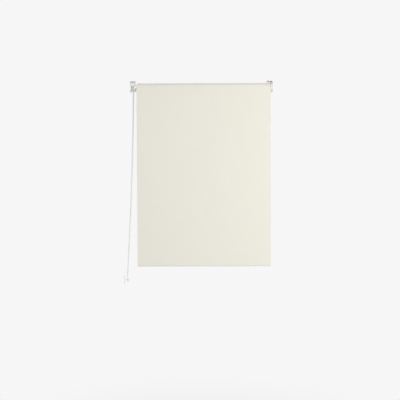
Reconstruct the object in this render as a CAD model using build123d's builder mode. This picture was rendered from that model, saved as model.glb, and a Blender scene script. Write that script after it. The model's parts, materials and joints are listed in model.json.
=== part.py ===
from build123d import *
from itertools import pairwise
from math import cos, degrees, hypot, pi, radians, sin, sqrt, tan
import os

# Blackout roller blind with a bead-chain clutch, let down about half way.
# Sizes are in millimetres. X runs along the roller from the control end, Y away from the room, Z up.
# The origin is the centre of the four fixing holes in the face that meets the window head.

# Cloth
cloth_width = 600
cloth_thickness = 0.42
turn_thickness = 0.45
full_drop = 1600
shown_drop = 804.5
wound_clearance = 0.05
cloth_gap = 0.3

# Roller tube
tube_radius = 16
tube_wall = 1.2
tube_past_control = 5
tube_past_idle = 1
rib_count = 3
rib_width = 1.4
rib_height = 1.8
groove_radius = 1.5
groove_wall = 1
groove_mouth = 1.4
strip_clearance = 0.15

# Hem and its bar
bar_height = 24
bar_thickness = 4
bar_end_gap = 4
pocket_clearance = 0.15
hem_seam_height = 6

# Brackets
steel = 1.6
head_gap = 2.9
flange_reach = 24
bend_outer = 2.4
bend_inner = 0.8
fixing_hole = 2.25
fixing_inset = 14
fixing_edge = 10
side_hole_height = 7.5
side_hole_edge = 5
tab_width = 9
tab_reach = 4
tab_spread = 22
lance_height = 5

# Control housing and spindle
housing_plate = 5.5
housing_inset = 0.2
guard_wall = 2.2
guard_clearance = 0.6
guard_past_wheel = 0.3
guard_edge = 6
boss_wall = 4
boss_height = 2
spindle_past_crown = 0.3
spindle_bore = 1.6
edge_break = 0.6
tab_play = 0.3

# Bead chain
bead_radius = 2.25
bead_spacing = 6
bead_sides = 6
link_radius = 0.6
strand_beads = 144
tidy_beads = 3
chain_lean = 0.01466
chain_bow_radius = 18315
joined_after = 120

# Chain wheel
wheel_pockets = 16
wheel_width = 11
bead_clearance = 0.35
wheel_gap = 0.5
rim_width = 1.3
groove_below_chain = 1.2
groove_half_width = 2.6
pocket_inset = 0.45
pocket_past_groove = 0.05
pocket_flare = 30
running_fit = 0.05
sleeve_wall = 1.6
sleeve_clearance = 0.25
sleeve_length = 25
sleeve_opening = 70

# Clutch crown and wrap springs
collar_past_tube = 1.8
collar_thickness = 4
plug_clearance = 0.2
crown_length = 31
crown_side = 0.7
crown_clearance = 0.2
crown_wall = 4
key_angle = 26
key_clearance = 0.2
spring_wall = 1.0
spring_length = 11
tang_length = 1.6
tang_width = 1.2
tang_clearance = 0.25

# Spindle screw and washer
washer_past_bore = 0.4
washer_thickness = 1.2
washer_hole = 2.2
screw_head_radius = 3.6
screw_head_height = 2.4
screw_length = 14
screw_slot = 0.9
thread_clearance = 0.05

# Idle end
idle_flange_radius = 22.5
idle_flange = 4.8
idle_gap = 1.2
pin_set_back = 0.3
idle_length = 36
pin_radius = 2.5
pin_cavity = 5
pin_wall = 6
pin_play = 0.3
pin_collar = 2
pin_tail_radius = 1.6
pin_tail = 9
bush_radius = 4.6
bush_flange_radius = 7.5
bush_flange = 0.8
bush_fit = 0.03
cap_radius = 7.5
cap_thickness = 1.5
cap_spigot = 3
coil_turns = 5
coil_radius = 3.3
coil_wire = 0.55
coil_corners = 10
coil_gap = 0.2

# Chain tidy
eye_bore = 3.6
eye_clearance = 0.25
eye_facets = 6
eye_slit = 1.5
tidy_arm = 9
tidy_plate = 2.5
tidy_plate_width = 15
tidy_plate_top = 24
tidy_plate_bottom = 16
tidy_screw_height = 16
tidy_screw_hole = 2.1
tidy_arm_height = 6
tidy_arm_width = 5

# Largest twist of a facet that still counts as flat
flat_within = 0.000001

# Chain connector
connector_wall = 0.7
connector_play = 0.3
connector_web = 0.6
connector_lip = 0.6
connector_mouth = 1.1

# Places along X, from the control bracket's inner face to the idle bracket's
wheel_offset = housing_plate + boss_height + wheel_gap
tube_offset = wheel_offset + wheel_width + wheel_gap + collar_thickness
tube_length = tube_past_control + cloth_width + tube_past_idle
bracket_span = tube_offset + tube_length + idle_flange + idle_gap
control_face = -bracket_span / 2
idle_face = bracket_span / 2
wheel_start = control_face + wheel_offset
wheel_middle = wheel_start + wheel_width / 2
wheel_end = wheel_start + wheel_width
collar_start = wheel_end + wheel_gap
tube_start = control_face + tube_offset
tube_end = tube_start + tube_length
cloth_start = tube_start + tube_past_control

# Places in the section across the roller
axle_z = -(steel + head_gap + idle_flange_radius)
tube_inside = tube_radius - tube_wall
wound_length = full_drop - shown_drop
roll_radius = sqrt(tube_radius**2 + wound_length * turn_thickness / pi)
cloth_front = -roll_radius
cloth_middle = cloth_front + cloth_thickness / 2
hem_bottom_z = axle_z - shown_drop
pocket_play = bar_thickness + 2 * pocket_clearance
pocket_outside = pocket_play + 2 * cloth_thickness
pocket_middle_y = cloth_front + pocket_outside / 2
pocket_height = bar_height + 2 * (pocket_clearance + cloth_thickness)
pocket_middle_z = hem_bottom_z + pocket_height / 2
hem_top_z = hem_bottom_z + pocket_height + hem_seam_height
groove_middle = tube_radius - groove_radius - groove_wall
pin_collar_radius = pin_cavity - pin_play
axle = Axis((0, 0, axle_z), (1, 0, 0))
along_axle = Plane(origin=(0, 0, axle_z), x_dir=(1, 0, 0), z_dir=(0, -1, 0))

# Circles through the beads' centres on the wheel and on the tidy, and what has its size from them
wheel_pitch_radius = bead_spacing / (2 * sin(pi / wheel_pockets))
tidy_radius = bead_spacing / (2 * sin(pi / (2 * tidy_beads)))
chain_radius = round(wheel_pitch_radius, 1)
wheel_radius = chain_radius + bead_radius + bead_clearance
groove_floor = chain_radius - groove_below_chain
pocket_floor = chain_radius - bead_radius - bead_clearance
pocket_depth = groove_floor - pocket_floor + pocket_past_groove
pocket_width = bead_radius - pocket_inset
housing_radius = wheel_radius + guard_clearance + guard_wall
bracket_depth = 2 * (housing_radius + housing_inset)
eye_half_width = tidy_radius - bead_radius - eye_clearance

# The clutch, from the tube in to the spindle
collar_radius = tube_radius + collar_past_tube
crown_bore = groove_middle - groove_radius - groove_wall - plug_clearance - crown_side
sleeve_outer = crown_bore - crown_clearance
sleeve_inner = sleeve_outer - sleeve_wall
spindle_radius = sleeve_inner - sleeve_clearance - spring_wall - running_fit
boss_radius = spindle_radius + boss_wall
washer_radius = crown_bore + washer_past_bore


def across(x):
    """Plane across the axle at x, with +Y to the right and +Z up."""
    return Plane(origin=(x, 0, axle_z), x_dir=(0, 1, 0), z_dir=(1, 0, 0))


def tube_keys(clearance):
    """Places of the tube's inner ribs and groove, cut from what slides into the tube."""
    with PolarLocations(tube_inside, rib_count, start_angle=90):
        Rectangle(2 * (rib_height + clearance), rib_width + 2 * clearance, mode=Mode.SUBTRACT)
    with Locations((0, -groove_middle)):
        Circle(groove_radius + groove_wall + clearance, mode=Mode.SUBTRACT)


# Roller tube, an aluminium extrusion with three inner ribs and a groove for the cloth
with BuildPart() as roller_tube:
    with BuildSketch(across(tube_start)):
        Circle(tube_radius)
        Circle(tube_inside, mode=Mode.SUBTRACT)
        with PolarLocations(tube_inside - rib_height / 2 + tube_wall / 4, rib_count, start_angle=90):
            Rectangle(rib_height + tube_wall / 2, rib_width)
        with Locations((0, -groove_middle)):
            Circle(groove_radius + groove_wall)
            Circle(groove_radius, mode=Mode.SUBTRACT)
        with Locations((0, -tube_radius)):
            Rectangle(groove_mouth, 2 * (tube_radius - groove_middle), mode=Mode.SUBTRACT)
    extrude(amount=tube_length)
roller_tube.part.label = "roller_tube"

# Round strip pushed into the groove, which locks the tail of the cloth
with BuildPart() as groove_strip:
    with BuildSketch(across(cloth_start)):
        with Locations((0, -groove_middle)):
            Circle(groove_radius - strip_clearance)
    extrude(amount=cloth_width)
groove_strip.part.label = "groove_strip"

# Cloth still wound on the tube. Its outline steps by one turn where the cloth leaves the front
with BuildPart() as fabric_roll:
    with BuildSketch(across(cloth_start)):
        with BuildLine():
            quarter_step = turn_thickness / 4
            square = quarter_step / 2
            centres = ((-square, 0), (-square, quarter_step), (square, quarter_step), (square, 0))
            for quarter, centre in enumerate(centres):
                arc_radius = roll_radius - square - quarter * quarter_step
                CenterArc(centre, arc_radius, 180 - 90 * quarter, -90)
            Line((-roll_radius + turn_thickness, 0), (-roll_radius, 0))
        make_face()
        Circle(tube_radius + wound_clearance, mode=Mode.SUBTRACT)
    extrude(amount=cloth_width)
fabric_roll.part.label = "fabric_roll"

# Cloth that hangs from the front of the roll down to the hem
with BuildPart() as fabric_drop:
    with BuildSketch(across(cloth_start)):
        with Locations((cloth_middle, (hem_top_z - axle_z - cloth_gap) / 2)):
            Rectangle(cloth_thickness, axle_z - cloth_gap - hem_top_z)
    extrude(amount=cloth_width)
fabric_drop.part.label = "fabric_drop"

# Hem: the cloth folded back round the bar and welded to itself along its top
with BuildPart() as hem_pocket:
    with BuildSketch(across(cloth_start)):
        with Locations((pocket_middle_y, pocket_middle_z - axle_z)):
            SlotOverall(pocket_height, pocket_outside, rotation=90)
        seam_foot = pocket_middle_z + pocket_height / 4
        with Locations((cloth_front + cloth_thickness, (hem_top_z + seam_foot) / 2 - axle_z)):
            Rectangle(2 * cloth_thickness, hem_top_z - seam_foot)
        with Locations((pocket_middle_y, pocket_middle_z - axle_z)):
            SlotOverall(bar_height + 2 * pocket_clearance, pocket_play, rotation=90, mode=Mode.SUBTRACT)
    extrude(amount=cloth_width)
hem_pocket.part.label = "hem_pocket"

# Flat bar with round edges that weights the hem
with BuildPart() as bottom_bar:
    with BuildSketch(across(cloth_start + bar_end_gap)):
        with Locations((pocket_middle_y, pocket_middle_z - axle_z)):
            SlotOverall(bar_height, bar_thickness, rotation=90)
    extrude(amount=cloth_width - 2 * bar_end_gap)
bottom_bar.part.label = "bottom_bar"


def bracket_side(face, inward):
    """Pressed steel angle: a side plate with a round foot, and a flange under the window head."""
    plate = Plane(origin=(face, 0, 0), x_dir=(0, 1, 0), z_dir=(1, 0, 0))
    with BuildPart() as angle:
        with BuildSketch(plate):
            with Locations((0, axle_z / 2)):
                Rectangle(bracket_depth, -axle_z)
            with Locations((0, axle_z)):
                Circle(bracket_depth / 2)
        extrude(amount=-inward * steel)
        with BuildSketch(Plane.XY):
            with Locations((face + inward * (flange_reach - steel) / 2, 0)):
                Rectangle(flange_reach + steel, bracket_depth)
        extrude(amount=-steel)
        outer_bend = edges().filter_by(Axis.Y).group_by(Axis.Z)[-1].sort_by(Axis.X)
        fillet(outer_bend[0] if inward > 0 else outer_bend[-1], bend_outer)
        inner_edges = edges().filter_by(Axis.Y).group_by(Axis.Z)[-2]
        fillet(inner_edges.sort_by(Axis.X)[0 if inward > 0 else -1], bend_inner)
        free_corners = edges().filter_by(Axis.Z).group_by(Axis.X)[-1 if inward > 0 else 0]
        fillet(free_corners, 2 * steel)
        with BuildSketch(Plane.XY):
            with Locations((face + inward * fixing_inset, 0)):
                with GridLocations(0, bracket_depth - 2 * fixing_edge, 1, 2):
                    Circle(fixing_hole)
        extrude(amount=-steel, mode=Mode.SUBTRACT)
        with BuildSketch(plate):
            with Locations((0, -side_hole_height)):
                with GridLocations(bracket_depth - 2 * side_hole_edge, 0, 2, 1):
                    Circle(fixing_hole)
        extrude(amount=-inward * steel, mode=Mode.SUBTRACT)
    return angle.part


# Control bracket, with two tabs lanced from the plate that carry the control housing
with BuildPart() as control_bracket:
    add(bracket_side(control_face, 1))
    with BuildSketch(across(control_face - steel)):
        with GridLocations(0, tab_spread, 1, 2):
            with Locations((0, lance_height / 2)):
                Rectangle(tab_width, lance_height)
    extrude(amount=steel, mode=Mode.SUBTRACT)
    with BuildSketch(across(control_face - steel)):
        with GridLocations(0, tab_spread, 1, 2):
            with Locations((0, -steel / 2)):
                Rectangle(tab_width, steel)
    extrude(amount=steel + tab_reach)
control_bracket.part.label = "control_bracket"

# Idle bracket, with a round hole for the bush
with BuildPart() as idle_bracket:
    add(bracket_side(idle_face, -1))
    with BuildSketch(across(idle_face)):
        Circle(bush_radius + bush_fit)
    extrude(amount=steel, mode=Mode.SUBTRACT)
idle_bracket.part.label = "idle_bracket"


# Control housing: round back plate, a guard over the top of the chain wheel, and the fixed spindle
guard_start = control_face + housing_plate
guard_depth = boss_height + wheel_gap + wheel_width + guard_past_wheel
spindle_end = tube_start + crown_length + spindle_past_crown
with BuildPart() as control_housing:
    with BuildSketch(across(control_face)):
        Circle(housing_radius)
    extrude(amount=housing_plate)
    chamfer(faces().sort_by(Axis.X)[0].edges(), edge_break)
    with BuildSketch(across(guard_start)):
        Circle(housing_radius)
        Circle(housing_radius - guard_wall, mode=Mode.SUBTRACT)
        with Locations((0, guard_edge - housing_radius)):
            Rectangle(2 * housing_radius, 2 * housing_radius, mode=Mode.SUBTRACT)
    extrude(amount=guard_depth)
    chamfer(faces().sort_by(Axis.X)[-1].edges().group_by(Edge.length)[-1], edge_break)
    with BuildSketch(across(control_face)):
        with GridLocations(0, tab_spread, 1, 2):
            with Locations((0, -steel / 2)):
                Rectangle(tab_width + 2 * tab_play, steel + 2 * tab_play)
    extrude(amount=tab_reach + tab_play, mode=Mode.SUBTRACT)
    with BuildSketch(across(guard_start)):
        Circle(boss_radius)
    extrude(amount=boss_height)
    with BuildSketch(across(guard_start)):
        Circle(spindle_radius)
    extrude(amount=spindle_end - guard_start)
    with BuildSketch(across(spindle_end)):
        Circle(spindle_bore)
    extrude(amount=-screw_length, mode=Mode.SUBTRACT)
control_housing.part.label = "control_housing"


def pocket_plane(number):
    """Plane on the floor of one pocket of the chain wheel, facing out."""
    turn = 2 * pi * number / wheel_pockets
    outward = (0, cos(turn), sin(turn))
    floor = (wheel_middle, pocket_floor * outward[1], axle_z + pocket_floor * outward[2])
    return Plane(origin=floor, x_dir=(1, 0, 0), z_dir=outward)


# Chain wheel, with a V groove, a pocket for each bead and an open sleeve that reaches the springs
with BuildPart() as drive_wheel:
    with BuildSketch(along_axle):
        with BuildLine():
            Polyline(
                (wheel_start, spindle_radius + running_fit),
                (wheel_start, wheel_radius),
                (wheel_start + rim_width, wheel_radius),
                (wheel_middle - groove_half_width, groove_floor),
                (wheel_middle + groove_half_width, groove_floor),
                (wheel_end - rim_width, wheel_radius),
                (wheel_end, wheel_radius),
                (wheel_end, spindle_radius + running_fit),
                close=True,
            )
        make_face()
    revolve(axis=axle)
    with BuildSketch(*[pocket_plane(number) for number in range(wheel_pockets)]):
        RegularPolygon(pocket_width, bead_sides)
    extrude(amount=pocket_depth, taper=-pocket_flare, mode=Mode.SUBTRACT)
    with BuildSketch(across(wheel_end)):
        Circle(sleeve_outer)
        Circle(sleeve_inner, mode=Mode.SUBTRACT)
        sector_reach = 2 * sleeve_outer
        sector_half = sector_reach * tan(radians(sleeve_opening / 2))
        Polygon((0, 0), (sector_half, sector_reach), (-sector_half, sector_reach), align=None,
                mode=Mode.SUBTRACT)
    extrude(amount=sleeve_length)
drive_wheel.part.label = "drive_wheel"

# Crown of the clutch: a collar against the tube and a plug inside it, with one inner key
key_inner = sleeve_inner + key_clearance
with BuildPart() as tube_adaptor:
    with BuildSketch(across(collar_start)):
        Circle(collar_radius)
    extrude(amount=collar_thickness)
    with BuildSketch(across(tube_start)):
        Circle(tube_inside - plug_clearance)
        tube_keys(plug_clearance)
    extrude(amount=crown_length)
    with BuildSketch(across(collar_start)):
        Circle(crown_bore)
        key_reach = 2 * crown_bore
        key_half = key_reach * tan(radians(key_angle / 2))
        with BuildSketch(mode=Mode.PRIVATE) as key_sector:
            Polygon((0, 0), (key_half, key_reach), (-key_half, key_reach), align=None)
            Circle(key_inner, mode=Mode.SUBTRACT)
        add(key_sector.sketch, mode=Mode.SUBTRACT)
    extrude(amount=collar_thickness + crown_length - crown_wall, mode=Mode.SUBTRACT)
    with BuildSketch(across(collar_start)):
        Circle(spindle_radius + 2 * running_fit)
    extrude(amount=collar_thickness + crown_length, mode=Mode.SUBTRACT)
tube_adaptor.part.label = "tube_adaptor"


def wrap_spring(start, tang_side):
    """Close-wound flat-wire spring that grips the spindle, as one sleeve with its bent-out tang."""
    tang_angle = 90 + tang_side * (key_angle / 2 + degrees(tang_width / sleeve_outer))
    with BuildPart() as spring:
        with BuildSketch(across(start)):
            Circle(spindle_radius + running_fit + spring_wall)
            Circle(spindle_radius + running_fit, mode=Mode.SUBTRACT)
        extrude(amount=spring_length)
        with BuildSketch(across(start + (spring_length - tang_length) * (1 + tang_side) / 2)):
            tang_inner = spindle_radius + running_fit + spring_wall / 2
            tang_outer = sleeve_outer - tang_clearance
            with PolarLocations((tang_inner + tang_outer) / 2, 1, start_angle=tang_angle):
                Rectangle(tang_outer - tang_inner, tang_width)
        extrude(amount=tang_length)
    return spring.part


# The two wrap springs of the clutch lie one behind the other on the spindle
first_spring_start = wheel_end + wheel_gap
second_spring_start = first_spring_start + spring_length + wheel_gap
outer_wrap_spring = wrap_spring(first_spring_start, -1)
outer_wrap_spring.label = "outer_wrap_spring"
inner_wrap_spring = wrap_spring(second_spring_start, 1)
inner_wrap_spring.label = "inner_wrap_spring"

# Washer on the end of the spindle, which keeps the crown from sliding off
with BuildPart() as spindle_washer:
    with BuildSketch(across(spindle_end)):
        Circle(washer_radius)
        Circle(washer_hole, mode=Mode.SUBTRACT)
    extrude(amount=washer_thickness)
spindle_washer.part.label = "spindle_washer"

# Slotted screw in the end of the spindle
with BuildPart() as spindle_screw:
    with BuildSketch(across(spindle_end + washer_thickness)):
        Circle(screw_head_radius)
    extrude(amount=screw_head_height)
    with BuildSketch(across(spindle_end + washer_thickness + screw_head_height)):
        Rectangle(2 * screw_head_radius, screw_slot)
    extrude(amount=-screw_head_height / 2, mode=Mode.SUBTRACT)
    with BuildSketch(across(spindle_end + washer_thickness)):
        Circle(spindle_bore - thread_clearance)
    extrude(amount=-(screw_length - thread_clearance))
spindle_screw.part.label = "spindle_screw"

# Idle plug: a disc beside the cloth and a plug in the tube, hollow for the pin and its spring
pin_shoulder = tube_end + idle_flange - pin_wall
plug_inner_end = tube_end - idle_length
with BuildPart() as idle_plug:
    with BuildSketch(across(tube_end)):
        Circle(idle_flange_radius)
    extrude(amount=idle_flange)
    chamfer(faces().sort_by(Axis.X)[-1].edges(), edge_break)
    with BuildSketch(across(plug_inner_end)):
        Circle(tube_inside - plug_clearance)
        tube_keys(plug_clearance)
    extrude(amount=idle_length)
    with BuildSketch(across(plug_inner_end)):
        Circle(pin_cavity)
    extrude(amount=pin_shoulder - plug_inner_end, mode=Mode.SUBTRACT)
    with BuildSketch(across(pin_shoulder)):
        Circle(pin_radius + running_fit)
    extrude(amount=pin_wall, mode=Mode.SUBTRACT)
idle_plug.part.label = "idle_plug"

# Idle pin with its collar and the tail that guides the spring
pin_tip = idle_face + steel - pin_set_back
with BuildPart() as idle_pin:
    with BuildSketch(across(pin_shoulder - pin_collar)):
        Circle(pin_collar_radius)
    extrude(amount=pin_collar)
    with BuildSketch(across(pin_shoulder)):
        Circle(pin_radius)
    extrude(amount=pin_tip - pin_shoulder)
    chamfer(faces().sort_by(Axis.X)[-1].edges(), edge_break)
    with BuildSketch(across(pin_shoulder - pin_collar)):
        Circle(pin_tail_radius)
    extrude(amount=-pin_tail)
idle_pin.part.label = "idle_pin"

# Cap pressed into the inner end of the plug, which holds the spring
with BuildPart() as plug_cap:
    with BuildSketch(across(plug_inner_end - cap_thickness)):
        Circle(cap_radius)
    extrude(amount=cap_thickness)
    with BuildSketch(across(plug_inner_end)):
        Circle(pin_cavity - thread_clearance)
    extrude(amount=cap_spigot)
plug_cap.part.label = "plug_cap"

# Plastic bush in the idle bracket, in which the pin turns
with BuildPart() as idle_bush:
    with BuildSketch(across(idle_face - bush_flange)):
        Circle(bush_flange_radius)
    extrude(amount=bush_flange)
    with BuildSketch(across(idle_face)):
        Circle(bush_radius)
    extrude(amount=steel)
    with BuildSketch(across(idle_face - bush_flange)):
        Circle(pin_radius + running_fit)
    extrude(amount=bush_flange + steel, mode=Mode.SUBTRACT)
idle_bush.part.label = "idle_bush"


def flat_facets(near, far, first, second):
    """The patch between two corners of one section and of the next, in two where it isn't flat."""
    corners = (near[first], near[second], far[second], far[first])
    normal = (corners[1] - corners[0]).cross(corners[2] - corners[0]).normalized()
    if abs((corners[3] - corners[0]).dot(normal)) < flat_within:
        return [Face(Wire.make_polygon(corners))]
    halves = (corners[:3], (corners[0], corners[2], corners[3]))
    return [Face(Wire.make_polygon(half)) for half in halves]


def faceted_string(stations, sides):
    """One solid with flat facets through a row of regular sections, each with its plane and radius."""
    sections = []
    for plane, radius in stations:
        corners = [(radius * cos(2 * pi * side / sides), radius * sin(2 * pi * side / sides), 0)
                   for side in range(sides)]
        sections.append([plane.from_local_coords(Vector(*corner)) for corner in corners])
    facets = [Face(Wire.make_polygon(sections[0])), Face(Wire.make_polygon(sections[-1]))]
    for near, far in pairwise(sections):
        for side in range(sides):
            facets += flat_facets(near, far, side, (side + 1) % sides)
    return Part(Solid(Shell(facets)).wrapped)


# Compression spring behind the pin, an open coil of square wire
coil_start = plug_inner_end + cap_spigot + coil_gap + coil_wire
coil_end = pin_shoulder - pin_collar - coil_gap - coil_wire
coil_stations = []
for corner in range(coil_turns * coil_corners + 1):
    turn = 2 * pi * corner / coil_corners
    along = coil_start + (coil_end - coil_start) * corner / (coil_turns * coil_corners)
    centre = (along, coil_radius * cos(turn), axle_z + coil_radius * sin(turn))
    forward = ((coil_end - coil_start) / coil_turns / (2 * pi * coil_radius), -sin(turn), cos(turn))
    outward = (0, cos(turn), sin(turn))
    coil_stations.append((Plane(origin=centre, x_dir=outward, z_dir=forward), coil_wire))
pin_spring = faceted_string(coil_stations, 4)
pin_spring.label = "pin_spring"

# Route of the chain: over the wheel, down both strands and round the eye of the tidy
strand_drop = 0
strand = [(0, 0)]
for bead in range(strand_beads):
    slope = chain_lean + strand_drop / chain_bow_radius
    strand_drop += bead_spacing / hypot(1, slope)
    strand_shift = chain_lean * strand_drop + strand_drop**2 / (2 * chain_bow_radius)
    strand.append((strand_shift, strand_drop))
chain_shift = strand[-1][0]
eye_x = wheel_middle - chain_shift
eye_z = axle_z - strand_drop


def strand_bead(bead, side):
    """Centre and way of a bead of the front (-1) or rear (+1) strand, counted from the wheel."""
    shift, drop = strand[bead]
    spread = wheel_pitch_radius + (tidy_radius - wheel_pitch_radius) * shift / chain_shift
    return Vector(wheel_middle - shift, side * spread, axle_z - drop), Vector(0, 0, side)


def arc_bead(centre_x, centre_z, radius, angle):
    """Centre and way of a bead on a half circle about an axis along X."""
    turn = radians(angle)
    centre = Vector(centre_x, radius * cos(turn), centre_z + radius * sin(turn))
    return centre, Vector(0, -sin(turn), cos(turn))


wheel_half = wheel_pockets // 2
route = [strand_bead(bead, 1) for bead in range(joined_after, 0, -1)]
route += [arc_bead(wheel_middle, axle_z, wheel_pitch_radius, 180 * step / wheel_half)
          for step in range(wheel_half + 1)]
route += [strand_bead(bead, -1) for bead in range(1, strand_beads)]
route += [arc_bead(eye_x, eye_z, tidy_radius, 180 + 180 * step / tidy_beads)
          for step in range(tidy_beads + 1)]
route += [strand_bead(bead, 1) for bead in range(strand_beads - 1, joined_after, -1)]

# Bead chain, one moulded string of beads that is open where the connector joins it
end_length = bead_spacing / 2 - connector_web - connector_play / 2
end_radius = bead_radius + (link_radius - bead_radius) * end_length / (bead_spacing / 2)


def chain_plane(centre, way):
    """Plane across the chain, with X kept along the roller."""
    return Plane(origin=centre, x_dir=(1, 0, 0), z_dir=way.normalized())


upper_end, upper_way = route[0]
lower_end, lower_way = route[-1]
joint_way = (upper_end - lower_end).normalized()
chain_stations = [(chain_plane(upper_end - joint_way * end_length, upper_way), end_radius)]
for (bead_centre, way), (next_centre, next_way) in pairwise(route):
    chain_stations.append((chain_plane(bead_centre, way), bead_radius))
    chain_stations.append((chain_plane((bead_centre + next_centre) * 0.5, way + next_way), link_radius))
chain_stations.append((chain_plane(lower_end, lower_way), bead_radius))
chain_stations.append((chain_plane(lower_end + joint_way * end_length, lower_way), end_radius))
bead_chain = faceted_string(chain_stations, bead_sides)
bead_chain.label = "bead_chain"

# Chain connector, a six-sided barrel with a socket for each end bead
joint_middle = (upper_end + lower_end) * 0.5
joint_half = bead_spacing
socket_radius = bead_radius + connector_play


def joint_plane(along):
    """Plane across the connector, at a distance from its middle."""
    return Plane(origin=joint_middle + joint_way * along, x_dir=(1, 0, 0), z_dir=joint_way)


with BuildPart() as chain_connector:
    with BuildSketch(joint_plane(-joint_half)):
        RegularPolygon(socket_radius + connector_wall, bead_sides)
    extrude(amount=2 * joint_half)
    with BuildSketch(joint_plane(connector_web), joint_plane(-joint_half + connector_lip)):
        RegularPolygon(socket_radius, bead_sides)
    extrude(amount=joint_half - connector_web - connector_lip, mode=Mode.SUBTRACT)
    with BuildSketch(joint_plane(joint_half - connector_lip), joint_plane(-joint_half)):
        RegularPolygon(connector_mouth, bead_sides)
    extrude(amount=connector_lip, mode=Mode.SUBTRACT)
chain_connector.part.label = "chain_connector"

# Chain tidy: an eye that holds the loop down, on an arm with a plate for one screw
eye_radius = eye_bore + eye_half_width
eye_middle_z = eye_z - eye_radius
plate_face = eye_x - eye_radius - tidy_arm
tidy_back = Plane(origin=(plate_face, 0, eye_middle_z), x_dir=(0, 1, 0), z_dir=(1, 0, 0))
with BuildPart() as chain_tidy:
    with BuildSketch(Plane(origin=(eye_x, 0, eye_middle_z), x_dir=(1, 0, 0), z_dir=(0, 0, 1))):
        inside = [(eye_radius - eye_half_width * sin(pi * corner / eye_facets),
                   eye_half_width * cos(pi * corner / eye_facets)) for corner in range(eye_facets + 1)]
        Polygon(*inside, align=None)
    revolve(axis=Axis((eye_x, 0, eye_middle_z), (0, 1, 0)))
    with BuildSketch(tidy_back):
        Rectangle(tidy_arm_width, tidy_arm_height)
    extrude(amount=tidy_arm + eye_half_width / 2)
    with BuildSketch(tidy_back):
        with Locations((0, (tidy_plate_top - tidy_plate_bottom) / 2)):
            SlotOverall(tidy_plate_top + tidy_plate_bottom, tidy_plate_width, rotation=90)
        with Locations((0, tidy_screw_height)):
            Circle(tidy_screw_hole, mode=Mode.SUBTRACT)
    extrude(amount=tidy_plate)
    with BuildSketch(Plane(origin=(eye_x, 0, eye_middle_z), x_dir=(1, 0, -1), z_dir=(0, -1, 0))):
        with Locations((eye_radius, 0)):
            Rectangle(2 * eye_radius, eye_slit)
    extrude(amount=2 * eye_half_width, both=True, mode=Mode.SUBTRACT)
chain_tidy.part.label = "chain_tidy"

finished = [
    control_bracket.part, idle_bracket.part, control_housing.part, drive_wheel.part, tube_adaptor.part,
    outer_wrap_spring, inner_wrap_spring, spindle_washer.part, spindle_screw.part, roller_tube.part,
    groove_strip.part, fabric_roll.part, fabric_drop.part, hem_pocket.part, bottom_bar.part,
    idle_plug.part, idle_pin.part, pin_spring, plug_cap.part, idle_bush.part, bead_chain,
    chain_connector.part, chain_tidy.part,
]
os.makedirs("parts", exist_ok=True)
for piece in finished:
    export_step(piece, "parts/" + piece.label + ".step")

print("roll radius", round(roll_radius, 3), "beads", len(route), "chain loop", bead_spacing * len(route))
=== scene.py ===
"""Looks of a blackout roller blind: its cloth, bead chain and springs, every finish, and the studio.

The file is laid out as an add-on and run as a script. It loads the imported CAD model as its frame,
makes the soft pieces, the chain and the springs in place, and gives every other piece its finish.
Lengths are in metres. X runs along the roller from the chain end, Y from front to back, Z up.
"""
import json
from math import ceil, cos, hypot, pi, radians, sin

import bpy
from bpy.props import FloatProperty, FloatVectorProperty, IntProperty, PointerProperty
from mathutils import Matrix, Vector


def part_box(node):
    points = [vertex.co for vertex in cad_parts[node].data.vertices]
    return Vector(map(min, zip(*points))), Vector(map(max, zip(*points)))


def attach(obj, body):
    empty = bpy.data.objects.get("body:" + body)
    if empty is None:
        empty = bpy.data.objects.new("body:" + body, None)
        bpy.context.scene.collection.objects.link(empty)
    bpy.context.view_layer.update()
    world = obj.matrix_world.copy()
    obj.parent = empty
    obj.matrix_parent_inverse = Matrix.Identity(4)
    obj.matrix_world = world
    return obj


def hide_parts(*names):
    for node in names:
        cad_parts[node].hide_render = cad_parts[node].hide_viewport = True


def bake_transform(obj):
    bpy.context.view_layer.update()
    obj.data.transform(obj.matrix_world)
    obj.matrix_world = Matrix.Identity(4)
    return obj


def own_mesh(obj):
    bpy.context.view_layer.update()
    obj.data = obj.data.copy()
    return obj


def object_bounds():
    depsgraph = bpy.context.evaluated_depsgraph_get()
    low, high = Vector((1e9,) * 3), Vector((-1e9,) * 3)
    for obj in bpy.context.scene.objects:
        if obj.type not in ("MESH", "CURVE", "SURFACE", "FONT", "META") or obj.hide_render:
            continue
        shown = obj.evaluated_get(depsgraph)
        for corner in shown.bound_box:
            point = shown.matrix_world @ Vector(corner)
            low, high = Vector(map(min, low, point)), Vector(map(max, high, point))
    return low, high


bl_info = {
    "name": "Roller blind",
    "version": (1, 0, 0),
    "blender": (4, 5, 0),
    "location": "View3D > Sidebar > Roller blind",
    "description": "Dresses the frame of a blackout roller blind and sets up its studio",
    "category": "Object",
}

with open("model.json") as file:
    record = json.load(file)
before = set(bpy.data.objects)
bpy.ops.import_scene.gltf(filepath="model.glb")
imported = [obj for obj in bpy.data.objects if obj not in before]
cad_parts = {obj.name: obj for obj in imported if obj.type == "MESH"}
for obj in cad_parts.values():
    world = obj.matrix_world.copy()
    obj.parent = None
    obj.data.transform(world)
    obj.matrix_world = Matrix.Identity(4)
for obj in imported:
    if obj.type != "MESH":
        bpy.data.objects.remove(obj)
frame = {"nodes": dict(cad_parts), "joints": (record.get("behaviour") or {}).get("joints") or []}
CAD_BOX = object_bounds()
JOINTS = {joint["name"]: joint for joint in frame["joints"]}
AXLE = Vector(JOINTS["roller_spin"]["pos_m"])

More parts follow.
